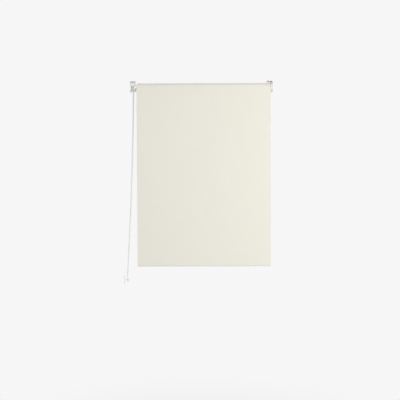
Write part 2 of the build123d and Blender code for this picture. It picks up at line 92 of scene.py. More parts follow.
# Boxes of the CAD nodes that the soft pieces stand for or lie against
DROP_LOW, DROP_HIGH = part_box("fabric_drop")
ROLL_LOW, ROLL_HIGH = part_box("fabric_roll")
HEM_LOW, HEM_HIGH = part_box("hem_pocket")
BAR_LOW, BAR_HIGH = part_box("bottom_bar")
TUBE_LOW, TUBE_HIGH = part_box("roller_tube")
CLOTH_THICKNESS = DROP_HIGH.y - DROP_LOW.y
CLOTH_WIDTH = DROP_HIGH.x - DROP_LOW.x
CLOTH_COLUMNS = 50
# The cloth hangs down the roll's front, so its front is one radius before the axle
ROLL_RADIUS = AXLE.y - DROP_LOW.y
# Where the hanging cloth begins on the roll and where it leaves it, in degrees from +Y towards +Z
LAID_FROM, HANGS_FROM = 55, 180
# The marks of the weld and the fold's start, along the hem's cloth from its top edge, and the width of
# the painted shade along the fold
WELD_FROM, WELD_TO, WELD_EDGE = 0.0020, 0.0042, 0.0003
FOLD_START = HEM_HIGH.z - HEM_LOW.z - (HEM_HIGH.y - HEM_LOW.y) / 2
FOLD_PAINTED_SHADE_WIDTH = 0.004
# Where the faces of a mesh piece turn by more than this, in degrees, their edge is shaded sharp
SHARP_EDGE = 40
# Place and size of each lamp; its power is a setting of the studio
LAMPS = {
    "key": ((1.9, -2.5, -0.2), 1.4),
    "fill": ((-2.2, -2.4, -0.2), 1.8),
    "back": ((0.3, 2.6, 2.4), 1.6),
}


# Settings that a user would change

class ClothSettings(bpy.types.PropertyGroup):
    """Colours, weave and hang of the blackout cloth."""
    front: FloatVectorProperty(name="Front", description="Colour of the woven side", subtype="COLOR",
                               size=3, min=0, max=1, default=(0.80, 0.775, 0.69))
    coating: FloatVectorProperty(name="Coating", description="Colour of the coated back",
                                 subtype="COLOR", size=3, min=0, max=1, default=(0.83, 0.815, 0.76))
    thread_pitch: FloatProperty(name="Thread pitch", description="From one thread to the next",
                                unit="LENGTH", default=0.0007)
    ripple: FloatProperty(name="Ripple", description="How far the hanging cloth leaves its plane",
                          unit="LENGTH", default=0.0004)
    turn_pitch: FloatProperty(name="Turn pitch", description="Thickness of one turn on the roll",
                              unit="LENGTH", default=0.00045)
    weld_pitch: FloatProperty(name="Weld pitch",
                              description="From one mark of the hem's weld to the next",
                              unit="LENGTH", default=0.003)


class ChainSettings(bpy.types.PropertyGroup):
    """Sizes and hang of the bead chain."""
    bead_radius: FloatProperty(name="Bead radius", description="Radius of one bead", unit="LENGTH",
                               default=0.00225)
    bead_pitch: FloatProperty(name="Bead pitch", description="From one bead to the next", unit="LENGTH",
                              default=0.006)
    cord_radius: FloatProperty(name="Cord radius", description="Radius of the cord in the beads",
                               unit="LENGTH", default=0.0006)
    wheel_pockets: IntProperty(name="Wheel pockets", description="Beads round the chain wheel",
                               default=16)
    wheel_width: FloatProperty(name="Wheel width", description="Width of the chain wheel", unit="LENGTH",
                               default=0.011)
    strand_beads: IntProperty(name="Strand beads", description="Beads from the wheel to the tidy",
                              default=144)
    tidy_beads: IntProperty(name="Tidy beads", description="Steps round the eye of the tidy", default=3)
    joined_after: IntProperty(name="Joined after",
                              description="Bead of the rear strand at the connector", default=120)
    lean: FloatProperty(name="Lean", description="Sideways travel of a strand for its drop",
                        default=0.01466)
    bow: FloatProperty(name="Bow", description="Growth of the lean for each metre of drop",
                       default=0.0273)


class FinishSettings(bpy.types.PropertyGroup):
    """Colours of the moulded, painted and metal pieces."""
    moulded: FloatVectorProperty(name="Moulded", description="White moulded plastic", subtype="COLOR",
                                 size=3, min=0, max=1, default=(0.91, 0.905, 0.885))
    painted: FloatVectorProperty(name="Painted", description="White powder coat", subtype="COLOR",
                                 size=3, min=0, max=1, default=(0.87, 0.865, 0.85))
    beads: FloatVectorProperty(name="Beads", description="Plastic of the chain", subtype="COLOR",
                               size=3, min=0, max=1, default=(0.83, 0.825, 0.81))
    aluminium: FloatVectorProperty(name="Aluminium", description="Extruded metal", subtype="COLOR",
                                   size=3, min=0, max=1, default=(0.78, 0.79, 0.80))
    zinc: FloatVectorProperty(name="Zinc", description="Plated steel", subtype="COLOR",
                              size=3, min=0, max=1, default=(0.62, 0.63, 0.65))
    strip: FloatVectorProperty(name="Strip", description="Extruded strip in the tube's groove",
                               subtype="COLOR", size=3, min=0, max=1, default=(0.74, 0.73, 0.69))


class StudioSettings(bpy.types.PropertyGroup):
    """Floor, light and camera."""
    background: FloatProperty(name="Background", description="Grey of the backdrop", default=0.923)
    ambient: FloatProperty(name="Ambient", description="Strength of the light from all round",
                           default=0.42)
    key_power: FloatProperty(name="Key power", description="Power of the large lamp at the front right",
                             unit="POWER", default=61)
    fill_power: FloatProperty(name="Fill power", description="Power of the lamp at the front left",
                              unit="POWER", default=20)
    back_power: FloatProperty(name="Back power", description="Power of the high lamp behind the blind",
                              unit="POWER", default=80)
    floor_height: FloatProperty(name="Floor height", description="Height of the floor", unit="LENGTH",
                                default=-1.75)
    focal_length: FloatProperty(name="Focal length", description="Of the camera, in millimetres",
                                default=59.8)
    distance: FloatProperty(name="Distance", description="From the camera to the roller's plane",
                            unit="LENGTH", default=3.0)
    aside: FloatProperty(name="Aside", description="Place of the camera along the roller", unit="LENGTH",
                         default=0.005)
    height: FloatProperty(name="Height", description="Height of the camera", unit="LENGTH",
                          default=-0.432)
    pitch: FloatProperty(name="Pitch", description="How far the camera looks down", subtype="ANGLE",
                         default=radians(1.93))
    yaw: FloatProperty(name="Yaw", description="How far the camera turns left", subtype="ANGLE",
                       default=radians(0.23))
    roll: FloatProperty(name="Roll", description="How far the camera tips", subtype="ANGLE",
                        default=radians(-0.20))


# Nodes and finishes

class Wire:
    """An output socket of a node tree. Operators on it add the Math nodes that they stand for."""

    def __init__(self, tree, socket):
        self.tree = tree
        self.socket = socket

    def node(self, kind, values=None, output=0, **settings):
        """Adds a node: its settings first, then the values or links of its sockets."""
        made = self.tree.nodes.new(kind)
        for setting, value in settings.items():
            setattr(made, setting, value)
        for name, value in (values or {}).items():
            if isinstance(value, Wire):
                self.tree.links.new(value.socket, made.inputs[name])
            else:
                made.inputs[name].default_value = value
        return Wire(self.tree, made.outputs[output]) if made.outputs else None

    def beside(self, output):
        """Another output of the same node."""
        return Wire(self.tree, self.socket.node.outputs[output])

    def maths(self, operation, *others):
        """A Math node on this wire and the others."""
        values = dict(enumerate((self, *others)))
        return self.node("ShaderNodeMath", values, operation=operation)

    def __add__(self, other):
        return self.maths("ADD", other)

    def __sub__(self, other):
        return self.maths("SUBTRACT", other)

    def __rsub__(self, other):
        return (self * -1).maths("ADD", other)

    def __mul__(self, other):
        return self.maths("MULTIPLY", other)

    def __pow__(self, other):
        return self.maths("POWER", other)

    __radd__ = __add__
    __rmul__ = __mul__

    def wave(self, pitch):
        """A sine of this length, from -1 to 1, that repeats at the pitch."""
        return (self * (2 * pi / pitch)).maths("SINE")

    def step(self, low, high):
        """0 below low and 1 above high, smooth between them."""
        values = {"Value": self, "From Min": low, "From Max": high}
        return self.node("ShaderNodeMapRange", values, interpolation_type="SMOOTHSTEP")

    def band(self, start, end, edge):
        """1 between start and end, with a soft edge of this width after each of them."""
        return self.step(start, start + edge) * (1 - self.step(end, end + edge))

    def part(self, letter):
        """One of this vector's parts, X, Y or Z."""
        return self.node("ShaderNodeSeparateXYZ", {"Vector": self}, output=letter)

    def stretched(self, *scale):
        """These coordinates, each scaled for itself."""
        return self.node("ShaderNodeMapping", {"Vector": self, "Scale": scale})

    def noise(self, scale, detail=2.0, roughness=0.5):
        """Even noise on these coordinates, from 0 to 1."""
        return self.node("ShaderNodeTexNoise", {"Vector": self, "Scale": scale, "Detail": detail,
                                                "Roughness": roughness})

    def tints(self, colour, dark, light):
        """The colour times dark where this is 0, and times light where it is 1."""
        values = {0: self, 6: (*shade(colour, dark), 1), 7: (*shade(colour, light), 1)}
        return self.node("ShaderNodeMix", values, output=2, data_type="RGBA")

    def bump(self, height, strength=1.0):
        """The surface's normal, raised by this pattern to a height in metres."""
        return self.node("ShaderNodeBump", {"Height": self, "Strength": strength, "Distance": height},
                         output="Normal")


def shade(colour, factor):
    """The colour made lighter or darker."""
    return tuple(min(1.0, part * factor) for part in colour)


def source(tree, kind, output):
    """An output of a new node, as a wire."""
    return Wire(tree, tree.nodes.new(kind).outputs[output])


def empty_tree(block):
    """The node tree of a world or material, with nothing in it."""
    block.use_nodes = True
    block.node_tree.nodes.clear()
    return block.node_tree


def new_finish(name, coordinates="Object", **constants):
    """A material with its constants set, its coordinates as a wire, and a call that links the rest."""
    material = bpy.data.materials.new(name)
    material.use_nodes = True
    tree = material.node_tree
    shader = tree.nodes["Principled BSDF"]
    for socket, value in constants.items():
        shader.inputs[socket.replace("_", " ")].default_value = value
    place = source(tree, "ShaderNodeTexCoord", coordinates)

    def link(**wires):
        for socket, wire in wires.items():
            tree.links.new(wire.socket, shader.inputs[socket.replace("_", " ")])
        return material

    return place, link


def plain_weave(place):
    """Threads that cross over and under each other, from -1 to 1, on coordinates in metres."""
    two_threads = 2 * bpy.context.scene.blind_cloth.thread_pitch
    return place.part("X").wave(two_threads) * place.part("Y").wave(two_threads)


def slubbed_weave(place):
    """Lightness of a weave with slubs, from about 0 to 1, and its height."""
    weave = plain_weave(place)
    along_slub, across_slub = 14, 700
    weft = place.stretched(along_slub, across_slub, 1).noise(1, 1.0)
    warp = place.stretched(across_slub, along_slub, 1).noise(1, 1.0)
    light = 0.5 + 0.22 * weave + 0.55 * (weft - 0.5) + 0.55 * (warp - 0.5)
    return light, weave + 0.8 * (weft + warp)


def front_finish(name):
    """A new material with the sheen of the cloth's front, on the piece's own UV in metres."""
    return new_finish(name, "UV", Sheen_Weight=0.12, Sheen_Roughness=0.6, Specular_IOR_Level=0.25)


def front_tint(light):
    """The colour of the cloth's front, for how light the threads are."""
    return light.tints(bpy.context.scene.blind_cloth.front, 0.955, 1.045)


def woven_cloth():
    """Front of the cloth: a fine plain weave with slubs."""
    place, link = front_finish("woven_cloth")
    light, height = slubbed_weave(place)
    return link(Base_Color=front_tint(light), Roughness=0.86 - 0.10 * light,
                Normal=height.bump(0.00005, 0.55))


def coated_back():
    """Back of the cloth: the weave half filled by its blackout coating."""
    place, link = new_finish("coated_back", "UV", Specular_IOR_Level=0.35)
    cloud = place.noise(60, 3.0)
    tint = cloud.tints(bpy.context.scene.blind_cloth.coating, 0.975, 1.02)
    return link(Base_Color=tint, Roughness=0.55 + 0.15 * cloud,
                Normal=(0.35 * plain_weave(place) + cloud).bump(0.00003, 0.5))


def welded_cloth():
    """The hem's cloth: the front's weave, a row of small weld marks, and painted shade in a band along
    the fold at the bottom.
    """
    place, link = front_finish("welded_cloth")
    light, height = slubbed_weave(place)
    marks = place.part("X").wave(bpy.context.scene.blind_cloth.weld_pitch).step(-0.35, 0.1)
    along = place.part("Y")
    weld = marks * along.band(WELD_FROM, WELD_TO, WELD_EDGE)
    # Painted shade: the colour is darker in a band along the bottom fold, standing in for the shade
    # under the hem's rounded edge
    painted_fold_shade = along.band(FOLD_START - FOLD_PAINTED_SHADE_WIDTH, FOLD_START + FOLD_PAINTED_SHADE_WIDTH, FOLD_PAINTED_SHADE_WIDTH)
    relief = (height * (1 - 0.8 * weld) - 3 * weld).bump(0.00005, 0.55)
    return link(Base_Color=front_tint(light - 0.28 * weld - 0.8 * painted_fold_shade),
                Roughness=0.84 - 0.10 * light - 0.20 * weld, Normal=relief)


def moulded_white():
    """White moulded plastic with the fine grain of its tool and faint flow marks."""
    colour = bpy.context.scene.blind_finish.moulded
    place, link = new_finish("moulded_white", IOR=1.5, Coat_Roughness=0.2)
    grain = place.noise(2600, 2.0)
    flow = place.stretched(1, 1, 0.4).noise(90, 3.0)
    tint = flow.tints(colour, 0.975, 1.015)
    return link(Base_Color=tint, Roughness=0.30 + 0.14 * flow + 0.06 * grain,
                Normal=(grain + 0.6 * flow).bump(0.00004, 0.35))


def moulded_beads():
    """Plastic of the chain, its connector and the chain wheel: softer and a little duller."""
    colour = bpy.context.scene.blind_finish.beads
    place, link = new_finish("moulded_beads", IOR=1.49)
    grain = place.noise(1800, 2.0)
    cloud = place.noise(160, 2.0)
    tint = cloud.tints(colour, 0.95, 1.03)
    return link(Base_Color=tint, Roughness=0.36 + 0.16 * cloud, Normal=grain.bump(0.00004, 0.4))


def powder_coat():
    """White powder coat on pressed steel, with its orange peel."""
    colour = bpy.context.scene.blind_finish.painted
    place, link = new_finish("powder_coat", IOR=1.5)
    peel = place.noise(900, 3.0, 0.6)
    cloud = place.noise(70, 2.0)
    tint = cloud.tints(colour, 0.98, 1.015)
    return link(Base_Color=tint, Roughness=0.38 + 0.16 * peel, Normal=peel.bump(0.00008, 0.45))


def mill_aluminium():
    """Extruded aluminium with the die's lines along X."""
    colour = bpy.context.scene.blind_finish.aluminium
    place, link = new_finish("mill_aluminium", Metallic=1.0)
    lines = place.stretched(3, 2600, 2600).noise(1, 3.0, 0.6)
    cloud = place.stretched(0.4, 1, 1).noise(50, 3.0)
    tint = (0.5 * lines + 0.5 * cloud).tints(colour, 0.88, 1.08)
    return link(Base_Color=tint, Roughness=0.26 + 0.16 * cloud + 0.10 * lines,
                Normal=lines.bump(0.00003, 0.5))


def zinc_plate():
    """Zinc plate on turned and pressed steel, a little cloudy."""
    colour = bpy.context.scene.blind_finish.zinc
    place, link = new_finish("zinc_plate", Metallic=1.0)
    turned = place.stretched(2400, 60, 60).noise(1, 2.0)
    cloud = place.noise(260, 3.0)
    tint = cloud.tints(colour, 0.86, 1.12)
    return link(Base_Color=tint, Roughness=0.24 + 0.20 * cloud, Normal=turned.bump(0.00002, 0.5))


def drawn_wire():
    """Drawn spring wire, darker than the plated pieces."""
    colour = shade(bpy.context.scene.blind_finish.zinc, 0.8)
    place, link = new_finish("drawn_wire", Metallic=1.0)
    cloud = place.noise(900, 2.0)
    tint = cloud.tints(colour, 0.82, 1.15)
    return link(Base_Color=tint, Roughness=0.26 + 0.22 * cloud, Normal=cloud.bump(0.00002, 0.4))


def natural_strip():
    """Extruded plastic strip in its natural colour."""
    colour = bpy.context.scene.blind_finish.strip
    place, link = new_finish("natural_strip", IOR=1.5)
    lines = place.stretched(4, 1500, 1500).noise(1, 2.0)
    tint = lines.tints(colour, 0.93, 1.05)
    return link(Base_Color=tint, Roughness=0.42 + 0.15 * lines, Normal=lines.bump(0.00003, 0.5))


def finish_nodes(maker, *names):
    """Gives CAD nodes one finish, in their own material slots."""
    material = maker()
    for name in names:
        slots = frame["nodes"][name].material_slots
        if not slots:
            raise RuntimeError(f"{name} has no material slot")
        for slot in slots:
            slot.material = material


# Shapes in mesh code

def new_piece(name, points, faces, uvs, materials, face_slots):
    """A smooth mesh object from points, faces, a UV in metres for each face corner, and its finishes."""
    mesh = bpy.data.meshes.new(name)
    mesh.from_pydata(points, [], faces)
    layer = mesh.uv_layers.new(name="cloth_metres")
    layer.data.foreach_set("uv", [part for face in uvs for corner in face for part in corner])
    for material in materials:
        mesh.materials.append(material)
    mesh.polygons.foreach_set("material_index", face_slots)
    mesh.polygons.foreach_set("use_smooth", [True] * len(faces))
    mesh.set_sharp_from_angle(angle=radians(SHARP_EDGE))
    if mesh.validate():
        raise RuntimeError(f"{name} has faulty faces")
    piece = bpy.data.objects.new(name, mesh)
    bpy.context.scene.collection.objects.link(piece)
    return piece


def arc(centre_y, centre_z, radius, start, end, steps):
    """Points (y, z) along a round stretch, with its angles in degrees from +Y towards +Z."""
    turns = [radians(start + (end - start) * step / steps) for step in range(steps + 1)]
    return [(centre_y + radius * cos(turn), centre_z + radius * sin(turn)) for turn in turns]


def straight(start, end, longest):
    """Points (y, z) after start, up to and with end, no further apart than the longest step."""
    steps = ceil(hypot(end[0] - start[0], end[1] - start[1]) / longest)
    return [tuple(a + (b - a) * step / steps for a, b in zip(start, end))
            for step in range(1, steps + 1)]


def running_lengths(path):
    """How far along the path each of its points lies."""
    lengths = [0.0]
    for (y, z), (next_y, next_z) in zip(path, path[1:]):
        lengths.append(lengths[-1] + hypot(next_y - y, next_z - z))
    return lengths


def coil_places(low_x, run, radius, turns, corners, start=0.0, closing=0.0):
    """Points of a coil about the axle, from the angle start at low_x, with corners in each turn.

    Closing moves turns by up to that share of the run: they lie closer at both ends and in the
    middle, and wider between.
    """
    places = []
    for corner in range(corners * turns + 1):
        share = corner / (corners * turns)
        turn = start + 2 * pi * turns * share
        along = share - closing * sin(4 * pi * share)
        places.append((low_x + run * along, AXLE.y + radius * cos(turn), AXLE.z + radius * sin(turn)))
    return places


def cloth_along(name, path, thicknesses, materials, ripple):
    """A length of cloth whose middle follows the path (y, z), as wide as the CAD cloth.

    With X pointing at the viewer, the first finish is on the side to the right of the path, and the
    second is on the other side and on the cut edges. The ripple says how far a point leaves the path,
    from its X and how far along it lies.
    """
    columns = CLOTH_COLUMNS
    lengths = running_lengths(path)
    last = len(path) - 1
    points = []
    for side in (0.5, -0.5):
        for row, (y, z) in enumerate(path):
            before, after = path[max(row - 1, 0)], path[min(row + 1, last)]
            way = Vector((after[0] - before[0], after[1] - before[1])).normalized()
            for column in range(columns + 1):
                x = DROP_LOW.x + CLOTH_WIDTH * column / columns
                off = side * thicknesses[row] + ripple(x, lengths[row])
                points.append((x, y + way[1] * off, z - way[0] * off))
    width = columns + 1
    back = len(path) * width
    faces, slots = [], []

    def patch(corners, slot):
        faces.append(corners)
        slots.append(slot)

    for row in range(last):
        for column in range(columns):
            a, b = row * width + column, row * width + column + 1
            c, d = b + width, a + width
            patch((a, d, c, b), 0)
            patch((back + a, back + b, back + c, back + d), 1)
        left, right = row * width, row * width + columns
        patch((left, back + left, back + left + width, left + width), 1)
        patch((right, right + width, back + right + width, back + right), 1)
    for column in range(columns):
        top, low = column, last * width + column
        patch((top, top + 1, back + top + 1, back + top), 1)
        patch((low, back + low, back + low + 1, low + 1), 1)
    uvs = [[(points[corner][0] - DROP_LOW.x, lengths[corner % back // width]) for corner in face]
           for face in faces]
    return new_piece(name, points, faces, uvs, materials, slots)


def lathed(name, profile, segments, materials, slots):
    """A closed ring turned about the axle from its section, a loop of points (x, radius)."""
    rows = len(profile)
    turns = [2 * pi * segment / segments for segment in range(segments)]
    points = [(x, AXLE.y + radius * cos(turn), AXLE.z + radius * sin(turn))
              for turn in turns for x, radius in profile]
    faces, uvs, face_slots = [], [], []
    for segment in range(segments):
        near, far = segment * rows, (segment + 1) % segments * rows
        for row in range(rows):
            after = (row + 1) % rows
            faces.append((near + row, near + after, far + after, far + row))
            low, high = turns[segment], turns[segment] + 2 * pi / segments
            (x, radius), (next_x, next_radius) = profile[row], profile[after]
            uvs.append([(x, low * radius), (next_x, low * next_radius),
                        (next_x, high * next_radius), (x, high * radius)])
            face_slots.append(slots[row])
    return new_piece(name, points, faces, uvs, materials, face_slots)


# Geometry Nodes

def new_tree(name, inputs):
    """An empty Geometry Nodes tree with named float inputs, and a call that adds a node to it."""
    tree = bpy.data.node_groups.new(name, "GeometryNodeTree")
    tree.interface.new_socket("Path", in_out="INPUT", socket_type="NodeSocketGeometry")
    for label in inputs:
        tree.interface.new_socket(label, in_out="INPUT", socket_type="NodeSocketFloat")
    tree.interface.new_socket("Piece", in_out="OUTPUT", socket_type="NodeSocketGeometry")

    def add(kind, values=None, **settings):
        made = tree.nodes.new(kind)
        for setting, value in settings.items():
            setattr(made, setting, value)
        for socket, value in (values or {}).items():
            if isinstance(value, bpy.types.NodeSocket):
                tree.links.new(value, made.inputs[socket])
            else:
                made.inputs[socket].default_value = value
        return made.outputs

    return tree, add


def close_tree(tree, add, shape, material):
    """Ends a tree with smooth faces, real instances and its finish."""
    smooth = add("GeometryNodeSetShadeSmooth", {"Geometry": shape})
    real = add("GeometryNodeRealizeInstances", {"Geometry": smooth[0]})
    finished = add("GeometryNodeSetMaterial", {"Geometry": real[0], "Material": material})
    tree.links.new(finished[0], tree.nodes.new("NodeGroupOutput").inputs["Piece"])
    return tree


def bead_string(material):
    """Tree that puts a round bead on each point of the path and runs a cord through them."""
    tree, add = new_tree("bead_string", ("Bead radius", "Cord radius"))
    given = add("NodeGroupInput")
    bead = add("GeometryNodeMeshUVSphere", {"Segments": 10, "Rings": 7, "Radius": given["Bead radius"]})
    beads = add("GeometryNodeInstanceOnPoints", {"Points": given["Path"], "Instance": bead["Mesh"]})
    line = add("GeometryNodeMeshToCurve", {"Mesh": given["Path"]})
    section = add("GeometryNodeCurvePrimitiveCircle", {"Resolution": 6, "Radius": given["Cord radius"]})
    cord = add("GeometryNodeCurveToMesh",
               {"Curve": line[0], "Profile Curve": section[0], "Fill Caps": True})
    joined = tree.nodes.new("GeometryNodeJoinGeometry")
    tree.links.new(beads[0], joined.inputs[0])
    tree.links.new(cord[0], joined.inputs[0])
    return close_tree(tree, add, joined.outputs[0], material)


def wound_wire(material):
    """Tree that runs a wire of rounded section along the path."""
    tree, add = new_tree("wound_wire", ("Wire width", "Wire height", "Corner"))
    given = add("NodeGroupInput")
    line = add("GeometryNodeMeshToCurve", {"Mesh": given["Path"]})
    block = add("GeometryNodeCurvePrimitiveQuadrilateral",
                {"Width": given["Wire width"], "Height": given["Wire height"]})
    section = add("GeometryNodeFilletCurve", {"Curve": block[0], "Radius": given["Corner"], "Count": 2},
                  mode="POLY")
    wire = add("GeometryNodeCurveToMesh",
               {"Curve": line[0], "Profile Curve": section[0], "Fill Caps": True})
    return close_tree(tree, add, wire[0], material)


def grown_piece(name, places, tree, sizes):
    """The plain mesh that a tree makes on a line through the places, with the tree's inputs by name."""
    mesh = bpy.data.meshes.new(name + "_path")
    mesh.from_pydata(places, [(start, start + 1) for start in range(len(places) - 1)], [])
    carrier = bpy.data.objects.new(name + "_path", mesh)
    bpy.context.scene.collection.objects.link(carrier)
    modifier = carrier.modifiers.new("grow", "NODES")
    modifier.node_group = tree
    sockets = {item.name: item.identifier
               for item in tree.interface.items_tree if item.in_out == "INPUT"}
    for label, value in sizes.items():
        modifier[sockets[label]] = value
    evaluated = carrier.evaluated_get(bpy.context.evaluated_depsgraph_get())
    made = bpy.data.meshes.new_from_object(evaluated)
    made.name = name
    carrier.modifiers.remove(modifier)
    bpy.data.objects.remove(carrier)
    if not made.polygons:
        raise RuntimeError(f"{name} came out empty")
    piece = bpy.data.objects.new(name, made)
    bpy.context.scene.collection.objects.link(piece)
    return piece


# Pieces

class ROLLER_BLIND_OT_hanging_cloth(bpy.types.Operator):
    """Cloth that leaves the roll over its top and hangs from its front down to the hem."""
    bl_idname = "roller_blind.hanging_cloth"
    bl_label = "Hanging cloth"

    def execute(self, context):
        cloth = context.scene.blind_cloth
        laid_on = ROLL_RADIUS - CLOTH_THICKNESS
        # The end that lies on the roll thins out, so that no step shows there
        taper_steps, round_steps, thin_end = 8, 14, 0.3
        row_height = 0.012
        path, thicknesses = [], []
        for step, (y, z) in enumerate(arc(0, 0, 1, LAID_FROM, HANGS_FROM, taper_steps + round_steps)):
            thickness = CLOTH_THICKNESS * min(1, (step + thin_end) / taper_steps)
            radius = laid_on + thickness / 2
            path.append((AXLE.y + radius * y, AXLE.z + radius * z))
            thicknesses.append(thickness)
        path += straight(path[-1], (path[-1][0], DROP_LOW.z), row_height)
        thicknesses += [CLOTH_THICKNESS] * (len(path) - len(thicknesses))
        length = running_lengths(path)[-1]
        wrap = ROLL_RADIUS * radians(HANGS_FROM - LAID_FROM)
        broad_wave, broad_shift = 0.41, 0.15
        narrow_wave, narrow_slant, narrow_height = 0.17, 0.6, 0.5
        edge_curl, edge_power = 2.2, 14

        def ripple(x, along):
            """Two waves across the hanging part, with side edges that curl back."""
            share = max(0, (along - wrap) / (length - wrap))
            fade = sin(pi * min(1, share)) ** 2
            broad = sin(2 * pi * (x / broad_wave + broad_shift))
            narrow = sin(2 * pi * (x / narrow_wave - narrow_slant * share))
            edge = abs(2 * (x - DROP_LOW.x) / CLOTH_WIDTH - 1) ** edge_power
            return cloth.ripple * fade * (broad + narrow_height * narrow - edge_curl * edge)

        piece = cloth_along("hanging_cloth", path, thicknesses, [woven_cloth(), coated_back()], ripple)
        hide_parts("fabric_drop")
        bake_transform(piece)
        return {"FINISHED"}


class ROLLER_BLIND_OT_wound_cloth(bpy.types.Operator):
    """Cloth still wound on the tube, with the edges of its turns at both ends."""
    bl_idname = "roller_blind.wound_cloth"
    bl_label = "Wound cloth"

    def execute(self, context):
        cloth = context.scene.blind_cloth
        # Gap to the tube and to the hanging cloth
        clear = 0.00003
        # How far the turns' edges lie in from the ends, and how that changes from turn to turn
        uneven, uneven_step = 0.00018, 2.4
        segments = 96
        outer = ROLL_RADIUS - CLOTH_THICKNESS - clear
        inner = (TUBE_HIGH.y - TUBE_LOW.y) / 2 + clear
        turns = int((outer - inner) / cloth.turn_pitch)
        pitch = (outer - inner) / turns
        chamfer = pitch * 0.3
        end = []
        for turn in range(turns):
            set_in = uneven * (1 + sin(uneven_step * turn))
            near, far = inner + turn * pitch, inner + (turn + 1) * pitch
            end += [(set_in + chamfer, near), (set_in, near + chamfer), (set_in, far - chamfer),
                    (set_in + chamfer, far)]
        low = [(ROLL_LOW.x + x, radius) for x, radius in end]
        high = [(ROLL_HIGH.x - x, radius) for x, radius in reversed(end)]
        profile = low + high
        # The woven side is on the outside, and the ends and the inside have the back's finish
        slots = [1] * (len(low) - 1) + [0] + [1] * (len(high) - 1) + [1]
        piece = lathed("wound_cloth", profile, segments, [woven_cloth(), coated_back()], slots)
        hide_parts("fabric_roll")
        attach(piece, "roller")
        return {"FINISHED"}


class ROLLER_BLIND_OT_hem_cloth(bpy.types.Operator):
    """Cloth folded back round the bottom bar and welded to itself above it."""
    bl_idname = "roller_blind.hem_cloth"
    bl_label = "Hem"

    def execute(self, context):
        half = CLOTH_THICKNESS / 2
        middle_y = (HEM_LOW.y + HEM_HIGH.y) / 2
        radius = (HEM_HIGH.y - HEM_LOW.y) / 2 - half
        fold_z = HEM_LOW.z + radius + half
        shoulder_z = BAR_HIGH.z - (BAR_HIGH.y - BAR_LOW.y) / 2
        front_y = HEM_LOW.y + half
        # The middles of the two welded layers are a little more than one thickness apart
        weld_y = front_y + CLOTH_THICKNESS * 1.02
        weld_z = shoulder_z + 2 * radius
        row_height, weld_row_height = 0.006, 0.003
        # Down the front, round under the bar, up its back, and a part of the way over its top edge
        over_bar, fold_steps, over_steps = 66, 16, 8
        path = [(front_y, HEM_HIGH.z)]
        path += straight(path[-1], (front_y, fold_z), row_height)
        path += arc(middle_y, fold_z, radius, 180, 360, fold_steps)[1:]
        path += straight(path[-1], (middle_y + radius, shoulder_z), row_height)
        path += arc(middle_y, shoulder_z, radius, 0, over_bar, over_steps)[1:]
        # Then in an easy curve to the back of the front layer, and up along it past the weld
        (near_y, near_z), (far_y, far_z) = path[-1], (weld_y, weld_z)
        ease_steps, eased = 8, 0.55
        for step in range(1, ease_steps + 1):
            share = step / ease_steps
            ease = share * share * (3 - 2 * share)
            path.append((near_y + (far_y - near_y) * ((1 - eased) * share + eased * ease),
                         near_z + (far_z - near_z) * share))
        path += straight(path[-1], (weld_y, HEM_HIGH.z - half), weld_row_height)
        piece = cloth_along("hem_cloth", path, [CLOTH_THICKNESS] * len(path),
                            [welded_cloth(), coated_back()], lambda x, along: 0.0)
        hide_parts("hem_pocket")
        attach(piece, "hem")
        return {"FINISHED"}


class ROLLER_BLIND_OT_bead_chain(bpy.types.Operator):
    """Loop of beads on a cord, from the chain wheel down to the eye of the tidy and back."""
    bl_idname = "roller_blind.bead_chain"
    bl_label = "Bead chain"

    def execute(self, context):
        chain = context.scene.blind_chain
        pitch = chain.bead_pitch
        wheel_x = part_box("drive_wheel")[0].x + chain.wheel_width / 2
        # Radii at which beads one pitch apart go round the wheel, and half round the tidy's eye
        wheel_radius = pitch / (2 * sin(pi / chain.wheel_pockets))
        eye_radius = pitch / (2 * sin(pi / (2 * chain.tidy_beads)))
        # Sideways shift and drop of each bead of a strand
        drop, strand = 0.0, [(0.0, 0.0)]
        for _ in range(chain.strand_beads):
            drop += pitch / hypot(1, chain.lean + 2 * chain.bow * drop)
            strand.append((chain.lean * drop + chain.bow * drop ** 2, drop))
        whole_shift = strand[-1][0]

        def hanging(bead, side):
            """Place of a bead on the rear strand, side 1, or on the front one, side -1."""
            shift, down = strand[bead]
            spread = wheel_radius + (eye_radius - wheel_radius) * shift / whole_shift
            return wheel_x - shift, AXLE.y + side * spread, AXLE.z - down

        def round_about(x, z, radius, angle):
            """Place on a circle square to X, at an angle from +Y towards +Z."""
            return x, AXLE.y + radius * cos(angle), z + radius * sin(angle)

        # From the connector up the rear strand, over the wheel, down the front strand, round under
        # the tidy's eye, and up to the connector again
        half = chain.wheel_pockets // 2
        places = [hanging(bead, 1) for bead in range(chain.joined_after, 0, -1)]
        places += [round_about(wheel_x, AXLE.z, wheel_radius, pi * step / half)
                   for step in range(half + 1)]
        places += [hanging(bead, -1) for bead in range(1, chain.strand_beads)]
        places += [round_about(wheel_x - whole_shift, AXLE.z - drop, eye_radius,
                               pi + pi * step / chain.tidy_beads)
                   for step in range(chain.tidy_beads + 1)]
        places += [hanging(bead, 1)
                   for bead in range(chain.strand_beads - 1, chain.joined_after, -1)]
        piece = grown_piece("bead_loop", places, bead_string(moulded_beads()),
                            {"Bead radius": chain.bead_radius, "Cord radius": chain.cord_radius})
        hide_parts("bead_chain")
        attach(piece, "fixed")
        return {"FINISHED"}


